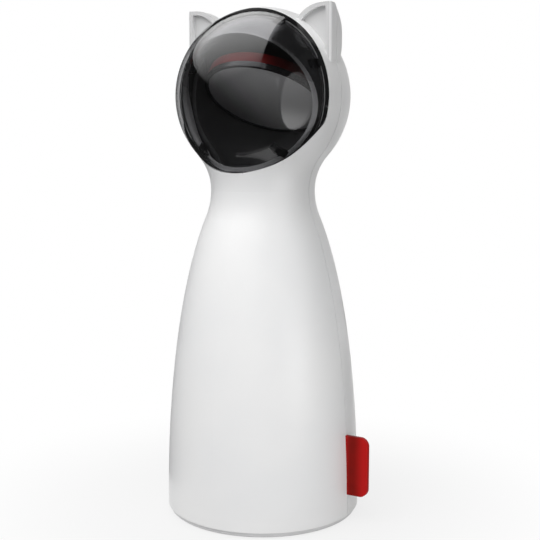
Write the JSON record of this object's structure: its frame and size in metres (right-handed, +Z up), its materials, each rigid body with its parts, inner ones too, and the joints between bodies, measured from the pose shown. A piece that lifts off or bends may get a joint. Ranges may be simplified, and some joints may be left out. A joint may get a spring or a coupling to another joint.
{
  "type": "automatic cat laser toy",
  "caption": "Pear-shaped cat toy with a round head, ears and a smoked dome, behind which a motor turns a leaning mirror over an upright laser",
  "frame": {"origin": "on the floor at the centre of the anti-slip mat under the base", "axes": "+Z up along the body, -Y towards the dome's face, +X towards the side with the red tag"},
  "size_m": [0.0888, 0.08, 0.2065],
  "materials": {
    "white_shell": "semi-gloss white moulding",
    "tinted_dome": "smoked clear plastic",
    "dark_plastic": "dark grey moulding",
    "mirror": "silvered",
    "red_plastic": "red moulding",
    "red_silicone": "soft red silicone",
    "grey_plastic": "grey moulding",
    "black_rubber": "matt foam rubber",
    "steel": "plated steel",
    "brass": "turned brass",
    "white_nylon": "natural acetal",
    "green_board": "printed board",
    "black_plastic": "black moulding",
    "cell_wrap": "plain wrapped cell",
    "lens": "clear lens"
  },
  "bodies": {
    "housing": {"front_shell": "white_shell", "rear_cover": "white_shell", "base_plate": "grey_plastic", "anti_slip_mat": "black_rubber", "red_tag": "red_silicone", "dome_mask": "dark_plastic", "mirror_bowl": "dark_plastic", "idler_axle": "steel", "mirror_deck": "black_plastic", "output_bush": "brass", "motor_bridge": "black_plastic", "motor_can": "steel", "motor_bush": "brass", "motor_cap": "white_nylon", "laser_holder": "black_plastic", "laser_barrel": "brass", "laser_lens": "lens", "laser_board": "green_board", "battery_tray": "grey_plastic", "aa_cells": "cell_wrap", "contact_springs": "steel", "contact_plates": "steel", "circuit_board": "green_board", "usb_socket": "steel", "slide_switch": "steel", "controller_chip": "black_plastic", "capacitor": "black_plastic", "lead_plugs": "white_nylon", "motor_leads": "red_plastic", "laser_leads": "black_plastic", "battery_leads": "red_plastic", "housing_screws": "steel", "ear_screws": "steel", "base_screws": "steel", "gearbox_screws": "steel", "holder_screws": "steel", "board_screws": "steel"},
    "dome": {"dome_window": "tinted_dome"},
    "door": {"battery_door": "white_shell", "door_screw": "steel"},
    "knob": {"power_knob": "grey_plastic"},
    "spinner": {"spinner_hub": "white_nylon", "tilt_pin": "steel", "output_gear": "white_nylon"},
    "mirror_unit": {"mirror_glass": "mirror", "mirror_bezel": "dark_plastic", "mirror_cup": "red_plastic"},
    "idler": {"idler_gear": "white_nylon"},
    "rotor": {"motor_shaft": "steel", "motor_pinion": "brass"}
  },
  "joints": [
    {"name": "dome_pull", "type": "slide", "parent": "housing", "child": "dome", "axis": [0, -1, 0], "range_m": [0, 0.03]},
    {"name": "battery_door_pull", "type": "slide", "parent": "housing", "child": "door", "axis": [0, 1, 0], "range_m": [0, 0.03]},
    {"name": "power_slide", "type": "slide", "parent": "housing", "child": "knob", "axis": [1, 0, 0], "range_m": [-0.002, 0.002]},
    {"name": "mirror_spin", "type": "hinge", "parent": "housing", "child": "spinner", "pos_m": [0, 0.0018, 0.1701], "axis": [0, 0.5, 0.866], "continuous": true},
    {"name": "mirror_tilt", "type": "hinge", "parent": "spinner", "child": "mirror_unit", "pos_m": [0, 0.00495, 0.17556], "axis": [1, 0, 0], "range_deg": [-4, 4]},
    {"name": "idler_spin", "type": "hinge", "parent": "housing", "child": "idler", "pos_m": [0.00958, 0.00328, 0.18541], "axis": [0, 0.5, 0.866], "continuous": true},
    {"name": "motor_spin", "type": "hinge", "parent": "housing", "child": "rotor", "pos_m": [0, 0.00802, 0.18499], "axis": [0, 0.5, 0.866], "continuous": true}
  ],
  "couplings": [
    {"joint": "idler_spin", "follows": "mirror_spin", "ratio": -3.6},
    {"joint": "motor_spin", "follows": "mirror_spin", "ratio": 11.52}
  ]
}
